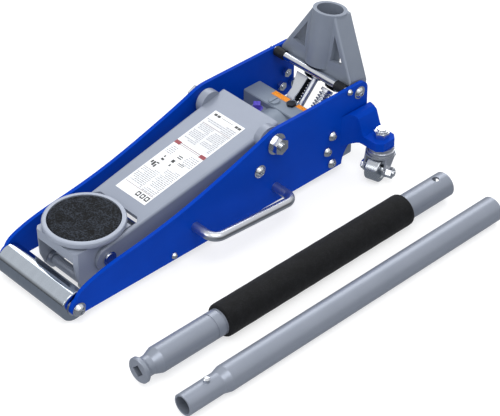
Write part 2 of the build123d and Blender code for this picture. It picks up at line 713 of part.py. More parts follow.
def plungers():
    """The two pump plungers with their caps, and the spring round each."""
    cap = CAP_AT + 4
    end = FACE_AT + 12
    for word, s in SIDES:
        y = s * PLUNGER_Y
        with BuildPart() as plunger:
            turned(
                along_plunger(CAP_AT, y), INTO_UNIT, (0, 0), (0, CAP_R - 0.8), (0.8, CAP_R), (cap - CAP_AT, CAP_R),
                (cap - CAP_AT, PLUNGER_R), (end - CAP_AT, PLUNGER_R), (end - CAP_AT, 0),
            )
        finish(plunger, f"plunger_{word}")
        coils = 7
        height = FACE_AT - cap - 2 * WIRE_R - 0.2
        start = along_plunger(cap + WIRE_R + 0.1, y)
        with BuildPart() as spring:
            with BuildLine() as coil:
                Helix(height / coils, height, SPRING_R, center=start, direction=INTO_UNIT)
            with BuildSketch(Plane(origin=coil.line @ 0, z_dir=coil.line % 0)):
                Circle(WIRE_R)
            sweep(path=coil.line)
        finish(spring, f"plunger_spring_{word}")


def release_valve():
    """The valve spindle that runs from the block to the joint under the socket."""
    foot = at(VALVE_FOOT[0], 0, VALVE_FOOT[1])
    reach = VALVE_RUN.length
    with BuildPart() as valve:
        turned(
            foot - VALVE_DIR * 8, VALVE_DIR, (0, 0), (0, VALVE_R), (reach - 5, VALVE_R), (reach - 4, 6.5),
            (reach + 4.5, 6.5), (reach + 2.2, 4.6), (reach + 0.6, 0),
        )
    finish(valve, "release_valve")


# --- handle socket -----------------------------------------------------------------------------------


def up_bore(height, y=0.0):
    """A point of the socket's bore axis."""
    return at(SOCKET_PIVOT[0], y, SOCKET_PIVOT[1]) + BORE_UP * height


def cam_point(y):
    """Centre of a cam roller."""
    return at(SOCKET_PIVOT[0] + CAM[0], y, SOCKET_PIVOT[1] + CAM[1])


def handle_socket():
    """The cast socket the handle is pushed into, with its legs and cam lugs."""
    outline = (
        (-LEG_OUT, 4), (-LEG_OUT, 13), (-19, SOCKET_H - 2), (19, SOCKET_H - 2), (LEG_OUT, 13), (LEG_OUT, 4),
    )
    pocket = (
        (-LEG_IN, -40), (-LEG_IN, 22), (-43.8, 28.5), (-24, 61.5), (-18, 68), (18, 68), (24, 61.5), (43.8, 28.5),
        (LEG_IN, 22), (LEG_IN, -40),
    )
    cam_u = CAM[0] * BORE_AHEAD.X + CAM[1] * BORE_AHEAD.Z
    cam_v = CAM[0] * BORE_UP.X + CAM[1] * BORE_UP.Z
    with BuildPart() as socket:
        slab(socket_face(BACK_U), outline, FACE_U - BACK_U)
        slab(socket_face(BACK_U - 1), pocket, FACE_U - WEB - BACK_U + 1, mode=Mode.SUBTRACT)
        long = socket.edges().filter_by(lambda e: 70 < e.length < 90)
        fillet(long, 3)
        for s in (1, -1):
            with BuildSketch(socket_side(outer_face(s, LEG_IN, LEG_OUT))):
                with BuildLine():
                    Polyline((FACE_U, 0), (FACE_U, 8), (BACK_U, 8), (-FACE_U, -1), close=True)
                make_face()
                Circle(FACE_U)
            extrude(amount=LEG_OUT - LEG_IN)
            window = ((s * 23.2, 60.5), (s * 42.5, 28.3), (s * 22.4, 26.3))
            slab(socket_face(0), window, FACE_U + 5, mode=Mode.SUBTRACT)
        rod(up_bore(BARREL_END), BORE_UP, SOCKET_H - BARREL_END, BARREL_R)
        for inner in (9, 24):
            for s in (1, -1):
                with BuildSketch(socket_side(outer_face(s, inner, inner + 3))):
                    with BuildLine():
                        Polyline(
                            (cam_u - 5, cam_v), (cam_u - 6, 14), (7.5, 14), (7.5, 5), (cam_u + 5.2, cam_v), close=True,
                        )
                    make_face()
                    with Locations((cam_u, cam_v)):
                        Circle(5.2)
                        Circle(CAM_PIN_R + FIT, mode=Mode.SUBTRACT)
                extrude(amount=3)
        rod(up_bore(BORE_STEP), BORE_UP, SOCKET_H, BORE_R, mode=Mode.SUBTRACT)
        rod(up_bore(BORE_END), BORE_UP, SOCKET_H, SEAT_R, mode=Mode.SUBTRACT)
        rod(up_bore(-5), BORE_UP, BORE_END + 10, 6 + FIT, mode=Mode.SUBTRACT)
        rod(up_bore(-5), BORE_UP, 4.8 + BARREL_END, 8.6, mode=Mode.SUBTRACT)
        rod(at(SOCKET_PIVOT[0], -70, SOCKET_PIVOT[1]), LEFT, 140, SOCKET_BOLT_R + FIT, mode=Mode.SUBTRACT)
        screw_foot, screw_out = socket_screw_seat()
        rod(screw_foot + screw_out * 5, screw_out * -1, 12, 2.5 + FIT, mode=Mode.SUBTRACT)
    finish(socket, "handle_socket")


def socket_screw_seat():
    """Where the retaining screw stands on the socket's slanting right edge, and its direction."""
    run, rise = LEG_OUT - 19, SOCKET_H - 2 - 13
    size = (run**2 + rise**2) ** 0.5
    height = 68.0
    half = LEG_OUT - run * (height - 13) / rise
    return up_bore(height, -half), LEFT * (-rise / size) + BORE_UP * (run / size)


def socket_fittings():
    """The cam rollers, the retaining screw and the release drive in the socket."""
    with BuildPart() as rollers:
        for _, s in SIDES:
            rod(cam_point(s * 8.6), LEFT * s, 18.8, CAM_PIN_R)
            rod(cam_point(s * 12.3), LEFT * s, 11.4, CAM_ROLLER_R)
    finish(rollers, "cam_rollers")
    foot, out = socket_screw_seat()
    with BuildPart() as screw:
        button_head(foot, out, 4.5, 3, 2.5, 6)
    finish(screw, "socket_screw")
    with BuildPart() as drive:
        turned(
            up_bore(3), BORE_UP, (0, 0), (0, 4.5), (6.5, 4.5), (6.5, 8), (8.7, 8), (8.7, 6), (23.3, 6), (23.3, 9),
            (25.5, 9), (25.5, 0),
        )
        with Locations(at(SOCKET_PIVOT[0], 0, SOCKET_PIVOT[1])):
            Sphere(6.4)
        prism(up_bore(28), BORE_UP, 18, 11, sides=4)
    finish(drive, "release_drive")


# --- casters -------------------------------------------------------------------------------------------


def caster(word, s):
    """One swivelling caster: fork, wheel and axle bolt."""
    trail = AHEAD * cos(CASTER_TURN) + LEFT * (s * sin(CASTER_TURN))
    out = AHEAD * -sin(CASTER_TURN) + LEFT * (s * cos(CASTER_TURN))
    swivel = at(SWIVEL[0], s * SWIVEL[1], 0)
    hub = swivel + trail * CASTER_TRAIL + UP * CASTER_R
    with BuildPart() as fork:
        with BuildSketch(Plane(origin=swivel + UP * CROWN, x_dir=trail, z_dir=UP)):
            Circle(CROWN_R)
        extrude(amount=2.6)
        for k in (1, -1):
            with BuildSketch(Plane(origin=swivel + out * (k * CHEEK), x_dir=trail, z_dir=trail.cross(UP))):
                with BuildLine():
                    Polyline(
                        (-11.5, CROWN + 2.6), (12.5, CROWN + 2.6), (CASTER_TRAIL + 7.5, CASTER_R),
                        (CASTER_TRAIL - 7.5, CASTER_R), (-11.5, CROWN - 3), close=True,
                    )
                make_face()
                with Locations((CASTER_TRAIL, CASTER_R)):
                    Circle(7.5)
            extrude(amount=1.3, both=True)
        rod(hub - out * 30, out, 60, CASTER_AXLE_R + FIT, mode=Mode.SUBTRACT)
        rod(swivel + UP * 25, UP, 20, KING_R + FIT, mode=Mode.SUBTRACT)
    finish(fork, f"caster_fork_{word}")
    near, far = HUB_HALF - CASTER_HALF, HUB_HALF + CASTER_HALF
    with BuildPart() as wheel:
        turned(
            hub - out * HUB_HALF, out, (0, CASTER_AXLE_R + FIT), (0, 6.5), (near + 2, 7), (near + 2, 10.5), (near, 12),
            (near, CASTER_R - 1), (near + 1, CASTER_R), (far - 1, CASTER_R), (far, CASTER_R - 1), (far, 12),
            (far - 2, 10.5), (far - 2, 7), (2 * HUB_HALF, 6.5), (2 * HUB_HALF, CASTER_AXLE_R + FIT),
        )
    finish(wheel, f"caster_wheel_{word}")
    with BuildPart() as bolt:
        rod(hub - out * (CHEEK + 3), out, 2 * CHEEK + 14.5, CASTER_AXLE_R)
        prism(hub - out * (CHEEK + 5.4), out, 4, 11)
        prism(hub + out * (CHEEK + 1.4), out, 8, 12.5)
    finish(bolt, f"caster_axle_{word}")


def caster_mountings():
    """The bearing races under the ears, and the bolts and nuts through them."""
    with BuildPart() as races:
        for _, s in SIDES:
            ring(at(SWIVEL[0], s * SWIVEL[1], CROWN + 2.9), UP, 4.4, 18, KING_R + FIT)
            ring(at(SWIVEL[0], s * SWIVEL[1], CROWN + 7.3), UP, EAR_LOW - CROWN - 7.3, 16.5, KING_R + FIT)
    finish(races, "caster_races")
    with BuildPart() as kings:
        for _, s in SIDES:
            here = at(SWIVEL[0], s * SWIVEL[1], CROWN + 0.4)
            rod(here, UP, 69.3 - CROWN - 0.4, KING_R)
            prism(at(SWIVEL[0], s * SWIVEL[1], EAR_TOP), UP, 7.5, 17)
            rod(at(SWIVEL[0], s * SWIVEL[1], EAR_TOP), UP, 10, 8)
    finish(kings, "caster_nuts")


# --- handle ----------------------------------------------------------------------------------------------


def lower_handle():
    """The handle piece that fits the socket, with its foam grip."""
    start = at(LOWER_FRONT, LOWER_Y, FOAM_R)
    back = AHEAD * -1
    end = LOWER_FRONT - LOWER_REAR
    with BuildPart() as tube:
        turned(
            start, back, (0, 0), (0, 14.8), (1, 15.75), (4.5, 15.75), (9, 12), (16, 12), (27, TUBE_R),
            (103, TUBE_R), (103, 15.4), (105, 15.4), (105, TUBE_R), (115, TUBE_R), (115, 15.4), (117, 15.4),
            (117, TUBE_R), (end, TUBE_R), (end, TUBE_IN), (29, TUBE_IN), (21, 9.5), (13, 9.5), (13, 0),
        )
        prism(start + AHEAD, back, 20, 11.6, sides=4, mode=Mode.SUBTRACT)
        rod(at(-453, LOWER_Y, FOAM_R), UP, 30, BUTTON_R + 0.5, mode=Mode.SUBTRACT)
    finish(tube, "lower_handle")
    with BuildPart() as foam:
        turned(
            at(FOAM_FRONT, LOWER_Y, FOAM_R), back, (0, TUBE_R + FIT), (0, FOAM_R - 2), (2, FOAM_R),
            (FOAM_FRONT - FOAM_REAR - 2, FOAM_R), (FOAM_FRONT - FOAM_REAR, FOAM_R - 2),
            (FOAM_FRONT - FOAM_REAR, TUBE_R + FIT),
        )
    finish(foam, "foam_grip")


def upper_handle():
    """The plain handle piece, with its narrowed end and the spring button in it."""
    start = at(UPPER_FRONT, UPPER_Y, TUBE_R)
    back = AHEAD * -1
    taper = UPPER_FRONT + 35
    end = UPPER_FRONT - UPPER_REAR
    with BuildPart() as tube:
        turned(
            start, back, (0, SPIGOT_R - 2.5), (0, SPIGOT_R - 0.6), (0.6, SPIGOT_R), (taper, SPIGOT_R),
            (taper + 10, TUBE_R), (end, TUBE_R), (end, TUBE_IN), (taper + 10, TUBE_IN), (taper, SPIGOT_R - 2.5),
        )
        rod(at(BUTTON_X, UPPER_Y, TUBE_R), UP, 30, BUTTON_R + FIT, mode=Mode.SUBTRACT)
    finish(tube, "upper_handle")
    with BuildPart() as button:
        turned(
            at(BUTTON_X, UPPER_Y, TUBE_R + 2), UP, (0, 0), (0, BUTTON_R), (SPIGOT_R + 1.5, BUTTON_R),
            (SPIGOT_R + 2.6, BUTTON_R - 1), (SPIGOT_R + 3, BUTTON_R - 2.4), (SPIGOT_R + 3, 0),
        )
    finish(button, "spring_button")


os.makedirs("parts", exist_ok=True)
for word, s in SIDES:
    side_plate(word, s)
    caster_bracket(word, s)
    caster(word, s)
bracket_nuts()
carry_handle()
front_axle()
roller_washers()
front_roller()
cross_rods()
plate_screws()
arm_pivots()
lift_arm()
arm_label()
ram_lever()
saddle_pin()
level_links()
saddle_bracket()
saddle()
pump_block()
unit_fittings()
ram()
plungers()
release_valve()
handle_socket()
socket_fittings()
caster_mountings()
lower_handle()
upper_handle()
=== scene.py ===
# %% [markdown]
# # A hydraulic trolley jack and its two-piece handle
# The solid model already gives every part its place and size, so this script dresses it: it gives each
# part the finish of the real thing and swaps the parts that show most for copies with softened edges.
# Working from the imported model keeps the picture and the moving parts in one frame.

import json
import math
import random

import bmesh
import bpy
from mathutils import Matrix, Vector


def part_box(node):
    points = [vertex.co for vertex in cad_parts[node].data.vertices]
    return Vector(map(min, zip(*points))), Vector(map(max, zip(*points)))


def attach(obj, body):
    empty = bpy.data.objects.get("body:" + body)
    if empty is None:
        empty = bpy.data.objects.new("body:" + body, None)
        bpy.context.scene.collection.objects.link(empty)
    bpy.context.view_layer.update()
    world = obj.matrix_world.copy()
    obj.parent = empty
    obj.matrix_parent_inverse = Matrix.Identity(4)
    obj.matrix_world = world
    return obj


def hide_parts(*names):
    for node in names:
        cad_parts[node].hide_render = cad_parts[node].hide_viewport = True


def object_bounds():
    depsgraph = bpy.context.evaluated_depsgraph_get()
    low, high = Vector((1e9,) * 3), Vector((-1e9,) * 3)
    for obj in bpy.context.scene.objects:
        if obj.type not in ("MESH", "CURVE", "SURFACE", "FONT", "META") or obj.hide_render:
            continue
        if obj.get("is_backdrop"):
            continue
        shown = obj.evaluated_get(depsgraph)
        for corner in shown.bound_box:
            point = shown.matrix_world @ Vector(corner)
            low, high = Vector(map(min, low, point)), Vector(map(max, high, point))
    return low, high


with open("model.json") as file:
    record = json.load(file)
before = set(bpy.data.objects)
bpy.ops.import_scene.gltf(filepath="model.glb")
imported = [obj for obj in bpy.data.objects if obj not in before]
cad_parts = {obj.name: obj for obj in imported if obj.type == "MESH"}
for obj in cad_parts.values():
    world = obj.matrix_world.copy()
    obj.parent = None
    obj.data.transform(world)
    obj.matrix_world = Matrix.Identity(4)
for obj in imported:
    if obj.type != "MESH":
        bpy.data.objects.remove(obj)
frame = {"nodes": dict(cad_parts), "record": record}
cad_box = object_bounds()
mm = 0.001

# %% [markdown]
# The record was drawn from the front axle and the mid-plane of the jack, so the same two numbers bring a
# jack measurement into the frame. Reading the roller's box, rather than typing a number, keeps the
# script right if the jack is moved.

# %% Jack measurements to frame
low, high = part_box("front_roller")
axle_x = (low.x + high.x) / 2
jack_y = (low.y + high.y) / 2


def place(x, y, z):
    """A jack measurement in millimetres, as a point of the frame."""
    return Vector((axle_x + x * mm, jack_y + y * mm, z * mm))


print("front axle at", round(axle_x, 4), "mid-plane at", round(jack_y, 4))

# %% [markdown]
# ## Finishes
# Every finish is built from a few shader nodes. One function adds a node with its settings and its links,
# which keeps each material short enough to read as a recipe. Colours are written as on a paint card and
# turned to linear light by one function.

# %% Colour and node helpers


def linear(code):
    """An sRGB hex colour as linear red, green, blue and alpha."""
    parts = [int(code[i : i + 2], 16) / 255 for i in (1, 3, 5)]
    return (*[c / 12.92 if c <= 0.04045 else ((c + 0.055) / 1.055) ** 2.4 for c in parts], 1.0)


def add(tree, kind, links=None, **settings):
    """Add a node, set its properties, then link or set its inputs."""
    made = tree.nodes.new(kind)
    for name, value in settings.items():
        setattr(made, name, value)
    for name, value in (links or {}).items():
        if isinstance(value, bpy.types.NodeSocket):
            tree.links.new(value, made.inputs[name])
        else:
            made.inputs[name].default_value = value
    return made


# a Mix node's colour sockets come after its number and vector ones, under the same names, so they are
# picked by their place
mix_from, mix_to, mix_result = 6, 7, 2


def blank(name):
    """A new material with only its output, and its tree."""
    made = bpy.data.materials.new(name)
    made.use_nodes = True
    made.node_tree.nodes.clear()
    return made, made.node_tree


def close(tree, shader):
    """Send a shader to the material's surface."""
    add(tree, "ShaderNodeOutputMaterial", {"Surface": shader.outputs[0]})


# %% [markdown]
# ### Powder coat and other paints
# The plates are powder coated: the powder melts into a thick, slightly dimpled film, called orange peel.
# The arm and the castings are sprayed, which leaves a thinner film and a finer texture. Both are one
# recipe with a different dimple size in millimetres and a little cloudiness in the colour; the sprayed
# finishes get a thin clear gloss on top and the plates none.

# %% Paint recipe
cloud_mm = 35


def paint(name, colour, shade, dimple_mm, depth, roughness, coat, metal=0.0, gleam=0.5):
    """A paint film: cloudy colour between colour and shade, and dimples of a real size."""
    made, tree = blank(name)
    where = add(tree, "ShaderNodeTexCoord").outputs["Object"]
    cloud = add(tree, "ShaderNodeTexNoise", {"Vector": where, "Scale": 1 / (cloud_mm * mm), "Detail": 3.0})
    mixed = add(
        tree, "ShaderNodeMix",
        {"Factor": cloud.outputs["Fac"], mix_from: linear(colour), mix_to: linear(shade)}, data_type="RGBA",
    )
    peel = add(
        tree, "ShaderNodeTexNoise",
        {"Vector": where, "Scale": 1 / (dimple_mm * mm), "Detail": 2.0, "Roughness": 0.45},
    )
    rub = add(
        tree, "ShaderNodeMapRange",
        {"Value": peel.outputs["Fac"], "To Min": roughness - 0.04, "To Max": roughness + 0.06},
    )
    bump = add(
        tree, "ShaderNodeBump", {"Height": peel.outputs["Fac"], "Strength": depth, "Distance": 0.2 * mm},
    )
    film = add(
        tree, "ShaderNodeBsdfPrincipled",
        {
            "Base Color": mixed.outputs[mix_result], "Roughness": rub.outputs["Result"],
            "Normal": bump.outputs["Normal"], "Metallic": metal, "IOR": 1.5, "Specular IOR Level": gleam,
            "Coat Weight": coat, "Coat Roughness": 0.18,
        },
    )
    close(tree, film)
    return made


# powder coat over steel: saturated colour, wide soft highlight with faint dimples
powder_coat_blue = paint(
    "powder_coat_blue", "#003EB0", "#00369E",
    dimple_mm=2.2, depth=0.2, roughness=0.42, coat=0.0, gleam=0.04,
)
# sprayed grey enamel on the cast power unit: dull, with the sand texture showing through
cast_enamel_grey = paint(
    "cast_enamel_grey", "#8B96A4", "#7A8492",
    dimple_mm=1.1, depth=0.6, roughness=0.5, coat=0.05, metal=0.2, gleam=0.3,
)
# sprayed silver-grey enamel on the pressed arm: pale, low gloss
arm_enamel_grey = paint(
    "arm_enamel_grey", "#8F96A5", "#868D9C",
    dimple_mm=1.6, depth=0.2, roughness=0.42, coat=0.1, metal=0.2, gleam=0.4,
)
# the same family of grey on the saddle's castings, slightly paler
saddle_enamel_grey = paint(
    "saddle_enamel_grey", "#9CA3B1", "#9097A6",
    dimple_mm=1.3, depth=0.4, roughness=0.42, coat=0.1, metal=0.2, gleam=0.4,
)
# darker grey on the cast handle socket
socket_enamel_grey = paint(
    "socket_enamel_grey", "#8A92A0", "#7A8290",
    dimple_mm=1.4, depth=0.5, roughness=0.44, coat=0.1, metal=0.3, gleam=0.4,
)
# aluminium-flake paint on the handle tubes: metallic grey with a tight highlight
flake_paint_silver = paint(
    "flake_paint_silver", "#8D93A0", "#838A97",
    dimple_mm=0.8, depth=0.1, roughness=0.36, coat=0.15, metal=0.4,
)
print("paints made")

# %% [markdown]
# ### Bare and plated metals
# Fasteners are zinc plated, the roller and the rods are ground and chromed, and the springs are bright
# wire. A metal needs no colour texture, because its look is its reflections: small changes of roughness
# and a fine scratch or turning pattern are what make it look made.

# %% Metal recipe


def metal(name, colour, roughness, grain_mm, depth, stretch=(1, 1, 1)):
    """A plated or ground metal, with grain of a real size that can be stretched along an axis."""
    made, tree = blank(name)
    where = add(tree, "ShaderNodeTexCoord").outputs["Object"]
    pull = add(tree, "ShaderNodeMapping", {"Vector": where, "Scale": stretch})
    grain = add(
        tree, "ShaderNodeTexNoise",
        {"Vector": pull.outputs["Vector"], "Scale": 1 / (grain_mm * mm), "Detail": 4.0, "Roughness": 0.6},
    )
    rub = add(
        tree, "ShaderNodeMapRange",
        {"Value": grain.outputs["Fac"], "To Min": roughness * 0.7, "To Max": roughness * 1.4},
    )
    bump = add(
        tree, "ShaderNodeBump", {"Height": grain.outputs["Fac"], "Strength": depth, "Distance": 0.1 * mm},
    )
    base = linear(colour)
    darker = (*[c * 0.82 for c in base[:3]], 1.0)
    tint = add(
        tree, "ShaderNodeMix",
        {"Factor": grain.outputs["Fac"], mix_from: base, mix_to: darker}, data_type="RGBA",
    )
    shine = add(
        tree, "ShaderNodeBsdfPrincipled",
        {
            "Base Color": tint.outputs[mix_result], "Metallic": 1.0, "Roughness": rub.outputs["Result"],
            "Normal": bump.outputs["Normal"],
        },
    )
    close(tree, shine)
    return made


# bright zinc on screws and nuts: pale, slightly blue, soft mirror
zinc_plate = metal("zinc_plate", "#E2E5EA", roughness=0.2, grain_mm=3.0, depth=0.12)
# zinc on rolled bar: duller
zinc_bar = metal("zinc_bar", "#D6D9E0", roughness=0.3, grain_mm=1.6, depth=0.2)
# hard chrome on the roller, ground round its axis, so the grain is long around it
ground_chrome = metal(
    "ground_chrome", "#C0C8D2", roughness=0.1, grain_mm=9.0, depth=0.02, stretch=(0.2, 1, 0.2),
)
# bright chrome on the cross rod and the ram
bright_chrome = metal("bright_chrome", "#DCDFE6", roughness=0.1, grain_mm=4.0, depth=0.03)
# turned steel of the caster wheels
turned_steel = metal("turned_steel", "#C3C8CE", roughness=0.24, grain_mm=1.2, depth=0.15, stretch=(1, 3, 1))
# oiled black steel of the second plunger
oiled_steel = metal("oiled_steel", "#34373E", roughness=0.42, grain_mm=2.0, depth=0.25)
# bright spring wire
spring_wire = metal("spring_wire", "#D2D6E0", roughness=0.2, grain_mm=2.0, depth=0.05)
print("metals made")

# %% [markdown]
# ### Rubber, foam and plastic
# The saddle pad is moulded rubber with a grainy top, the grip is closed-cell foam, and one plug is a
# moulded plastic. Grain comes from a Voronoi pattern, whose cells are like grit, with the cell size set
# in millimetres.

# %% Grainy recipe
worn_mm = 9


def grainy(name, colour, fleck, cell_mm, depth, roughness, sheen=0.0, gleam=0.22):
    """A matte moulded surface with cells of a real size, a few of them paler."""
    made, tree = blank(name)
    where = add(tree, "ShaderNodeTexCoord").outputs["Object"]
    cells = add(tree, "ShaderNodeTexVoronoi", {"Vector": where, "Scale": 1 / (cell_mm * mm)})
    worn = add(tree, "ShaderNodeTexNoise", {"Vector": where, "Scale": 1 / (worn_mm * mm), "Detail": 5.0})
    height = add(
        tree, "ShaderNodeMath",
        {0: cells.outputs["Distance"], 1: worn.outputs["Fac"]}, operation="MULTIPLY",
    )
    speck = add(
        tree, "ShaderNodeMapRange",
        {"Value": height.outputs[0], "From Min": 0.16, "From Max": 0.42, "To Min": 0.0, "To Max": 1.0},
    )
    mixed = add(
        tree, "ShaderNodeMix",
        {"Factor": speck.outputs["Result"], mix_from: linear(colour), mix_to: linear(fleck)},
        data_type="RGBA",
    )
    bump = add(
        tree, "ShaderNodeBump", {"Height": height.outputs[0], "Strength": depth, "Distance": 0.6 * mm},
    )
    matte = add(
        tree, "ShaderNodeBsdfPrincipled",
        {
            "Base Color": mixed.outputs[mix_result], "Roughness": roughness, "Normal": bump.outputs["Normal"],
            "Sheen Weight": sheen, "IOR": 1.5, "Specular IOR Level": gleam,
        },
    )
    close(tree, matte)
    return made


# moulded rubber with grit: near black with grey specks
gritty_rubber = grainy(
    "gritty_rubber", "#040507", "#2C313A",
    cell_mm=2.2, depth=1.0, roughness=0.5, sheen=0.0, gleam=0.08,
)
# closed-cell foam: soft black with a fine open skin
closed_cell_foam = grainy(
    "closed_cell_foam", "#08090B", "#16171A",
    cell_mm=1.1, depth=0.7, roughness=0.8, sheen=0.04,
)
# smooth rubber sleeves
smooth_rubber = grainy(
    "smooth_rubber", "#15171B", "#202329",
    cell_mm=1.5, depth=0.2, roughness=0.5,
)
# moulded plastic of the filler plug: violet-blue, glossy
moulded_plastic_violet = grainy(
    "moulded_plastic_violet", "#4C3FB0", "#5A4DC0",
    cell_mm=2.5, depth=0.05, roughness=0.28,
)
print("rubber, foam and plastic made")

# %% [markdown]
# ### Printed film
# Labels are thin plastic film. The white one on the arm is plain here, because its print is laid on as
# separate thin pieces further down. The orange ones carry rows of dark print, which a band pattern gives
# without drawing any letters.

# %% Film recipes
paper_mm = 12


def film(name, colour, row_colour=None, row_mm=1.0, turn=0.0):
    """Glossy film, with rows of broken dark print where a row colour is given."""
    made, tree = blank(name)
    where = add(tree, "ShaderNodeTexCoord").outputs["Object"]
    base = linear(colour)
    if row_colour:
        other = linear(row_colour)
        face = add(tree, "ShaderNodeMapping", {"Vector": where, "Rotation": (0, 0, turn)})
        rows = add(
            tree, "ShaderNodeTexBrick",
            {
                "Vector": face.outputs["Vector"], "Scale": 1.0, "Color1": (1, 1, 1, 1),
                "Color2": (0.3, 0.3, 0.3, 1), "Mortar": (0, 0, 0, 1), "Mortar Size": row_mm * 0.32 * mm,
                "Brick Width": 4.2 * row_mm * mm, "Row Height": row_mm * mm, "Bias": 0.2,
            },
        )
        pattern = rows.outputs["Color"]
    else:
        other = (*[c * 0.95 for c in base[:3]], 1.0)
        paper = add(tree, "ShaderNodeTexNoise", {"Vector": where, "Scale": 1 / (paper_mm * mm), "Detail": 2.0})
        pattern = paper.outputs["Fac"]
    mixed = add(tree, "ShaderNodeMix", {"Factor": pattern, mix_from: base, mix_to: other}, data_type="RGBA")
    gloss = add(
        tree, "ShaderNodeBsdfPrincipled",
        {
            "Base Color": mixed.outputs[mix_result], "Roughness": 0.35, "IOR": 1.49, "Coat Weight": 0.2,
            "Coat Roughness": 0.1,
        },
    )
    close(tree, gloss)
    return made


vinyl_white = film("vinyl_white", "#E9EBEE")
vinyl_pale = film("vinyl_pale", "#D6D8DC")
vinyl_orange = film("vinyl_orange", "#FF9A10", "#8A4A08", row_mm=1.8, turn=math.pi / 2)
ink_black = film("ink_black", "#15161A")
ink_grey = film("ink_grey", "#8D9098")
ink_red = film("ink_red", "#86202E")
ink_dark_red = film("ink_dark_red", "#6A4A50")
print("films made")

# %% [markdown]
# ### Paint the solid parts
# The record gives each part a slot, and the slots are matched to the finishes above. Assigning the
# material to the part's own slots leaves its shape alone.

# %% Assign the finishes
finish_of = {
    "blue_coat": powder_coat_blue, "unit_grey": cast_enamel_grey, "zinc": zinc_plate,
    "zinc_bar": zinc_bar, "zinc_strip": zinc_bar, "roller_chrome": ground_chrome,
    "rod_chrome": bright_chrome, "ram_chrome": bright_chrome, "sleeve_rubber": smooth_rubber,
    "plug_plastic": moulded_plastic_violet, "label_orange": vinyl_orange, "label_white": vinyl_white,
    "arm_grey": arm_enamel_grey, "saddle_grey": saddle_enamel_grey, "socket_grey": socket_enamel_grey,
    "pad_rubber": gritty_rubber, "dark_steel": oiled_steel, "spring_steel": spring_wire,
    "wheel_steel": turned_steel, "tube_paint": flake_paint_silver, "grip_foam": closed_cell_foam,
}
slot_of = {part["node"]: part["material_slot"] for part in frame["record"]["subparts"]}
body_of = {node: body for body, nodes in frame["record"]["behaviour"]["bodies"].items() for node in nodes}


def dress(piece, finish):
    """Give every face of a piece one finish."""
    piece.data.materials.clear()
    piece.data.materials.append(finish)


for node, piece in frame["nodes"].items():
    dress(piece, finish_of[slot_of[node]])
print("dressed", len(frame["nodes"]), "parts")

# %% [markdown]
# ## Softened edges
# Real plate and cast edges are never knife sharp: paint pools on them and they catch the light. Each main
# part is copied, its loose triangles are merged into whole faces, and its sharp edges get a narrow bevel
# with the bmesh operator. The copy then stands for the solid part and rides the same body.

# %% Copy a part with rounded edges


def shaded(piece):
    """Smooth shading that keeps real corners crisp."""
    mesh = piece.data
    for face in mesh.polygons:
        face.use_smooth = True
    shape = bmesh.new()
    shape.from_mesh(mesh)
    for edge in shape.edges:
        edge.smooth = len(edge.link_faces) == 2 and edge.calc_face_angle(0) < math.radians(38)
    shape.to_mesh(mesh)
    shape.free()
    weighted = piece.modifiers.new("even_shading", "WEIGHTED_NORMAL")
    weighted.keep_sharp = True
    return piece


def shown(shape, name, body, finish):
    """Turn a bmesh into a piece that rides on a body and wears the finish it is given."""
    mesh = bpy.data.meshes.new(name)
    shape.to_mesh(mesh)
    shape.free()
    piece = bpy.data.objects.new(name, mesh)
    bpy.context.scene.collection.objects.link(piece)
    dress(piece, finish)
    shaded(piece)
    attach(piece, body)
    return piece


def softened(node, width_mm, segments=2, least=35):
    """Replace a solid part by a copy whose edges sharper than least degrees are bevelled."""
    shape = bmesh.new()
    shape.from_mesh(frame["nodes"][node].data)
    bmesh.ops.remove_doubles(shape, verts=shape.verts, dist=2e-6)
    bmesh.ops.dissolve_limit(shape, angle_limit=math.radians(0.5), verts=shape.verts, edges=shape.edges)
    sharp = [
        edge for edge in shape.edges
        if len(edge.link_faces) == 2 and edge.calc_face_angle(0) > math.radians(least)
    ]
    bmesh.ops.bevel(
        shape, geom=sharp, offset=width_mm * mm, offset_type="OFFSET", affect="EDGES", segments=segments,
        profile=0.5, material=-1, clamp_overlap=True,
    )
    bmesh.ops.remove_doubles(shape, verts=shape.verts, dist=1e-6)
    piece = shown(shape, node + "_soft", body_of[node], finish_of[slot_of[node]])
    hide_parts(node)
    return piece


edge_widths = {
    "side_plate_left": 0.7, "side_plate_right": 0.7, "caster_bracket_left": 1.6, "caster_bracket_right": 1.6,
    "lift_arm": 0.5, "handle_socket": 0.8, "saddle_bracket": 0.7, "pump_block": 0.9, "reservoir": 0.6,
    "saddle_cup": 0.4, "ram_lever": 0.5, "level_link_left": 0.5, "level_link_right": 0.5, "ram": 0.5,
    "arm_washers": 0.4, "axle_screws": 0.25, "unit_screws": 0.25, "link_bolts": 0.25,
    "socket_bolts": 0.25, "bracket_nuts": 0.3, "caster_nuts": 0.4, "caster_fork_left": 0.4,
    "caster_fork_right": 0.4, "caster_axle_left": 0.3, "caster_axle_right": 0.3, "caster_races": 0.5,
    "caster_wheel_left": 0.4, "caster_wheel_right": 0.4, "front_roller": 0.4, "square_plug": 0.4,
    "hex_plug": 0.3, "slotted_plug": 0.2, "guide_strip": 0.25,
}
for node, width in edge_widths.items():
    softened(node, width)
print("softened", len(edge_widths), "parts")

# %% [markdown]
# ## The print on the arm's label
# The label is white film with lines of fine print across it, a thin dark red stripe, and a few black
# signs. The print is made as very thin plates that lie on the film, so it stays put when the arm lifts.
# It is generic: short bars stand for words and plain shapes for signs, with no letters.

# %% Lay print on the label
label_low, label_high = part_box("arm_label")
rear_x = (label_low.x - axle_x) / mm
half_label = (label_high.y - label_low.y) / 2 / mm
fall = (label_high.z - label_low.z - 0.4 * mm) / (label_high.x - label_low.x)


def film_height(x):
    """Height of the label's face at x, in millimetres."""
    return label_high.z / mm - fall * (x - rear_x) + 0.02


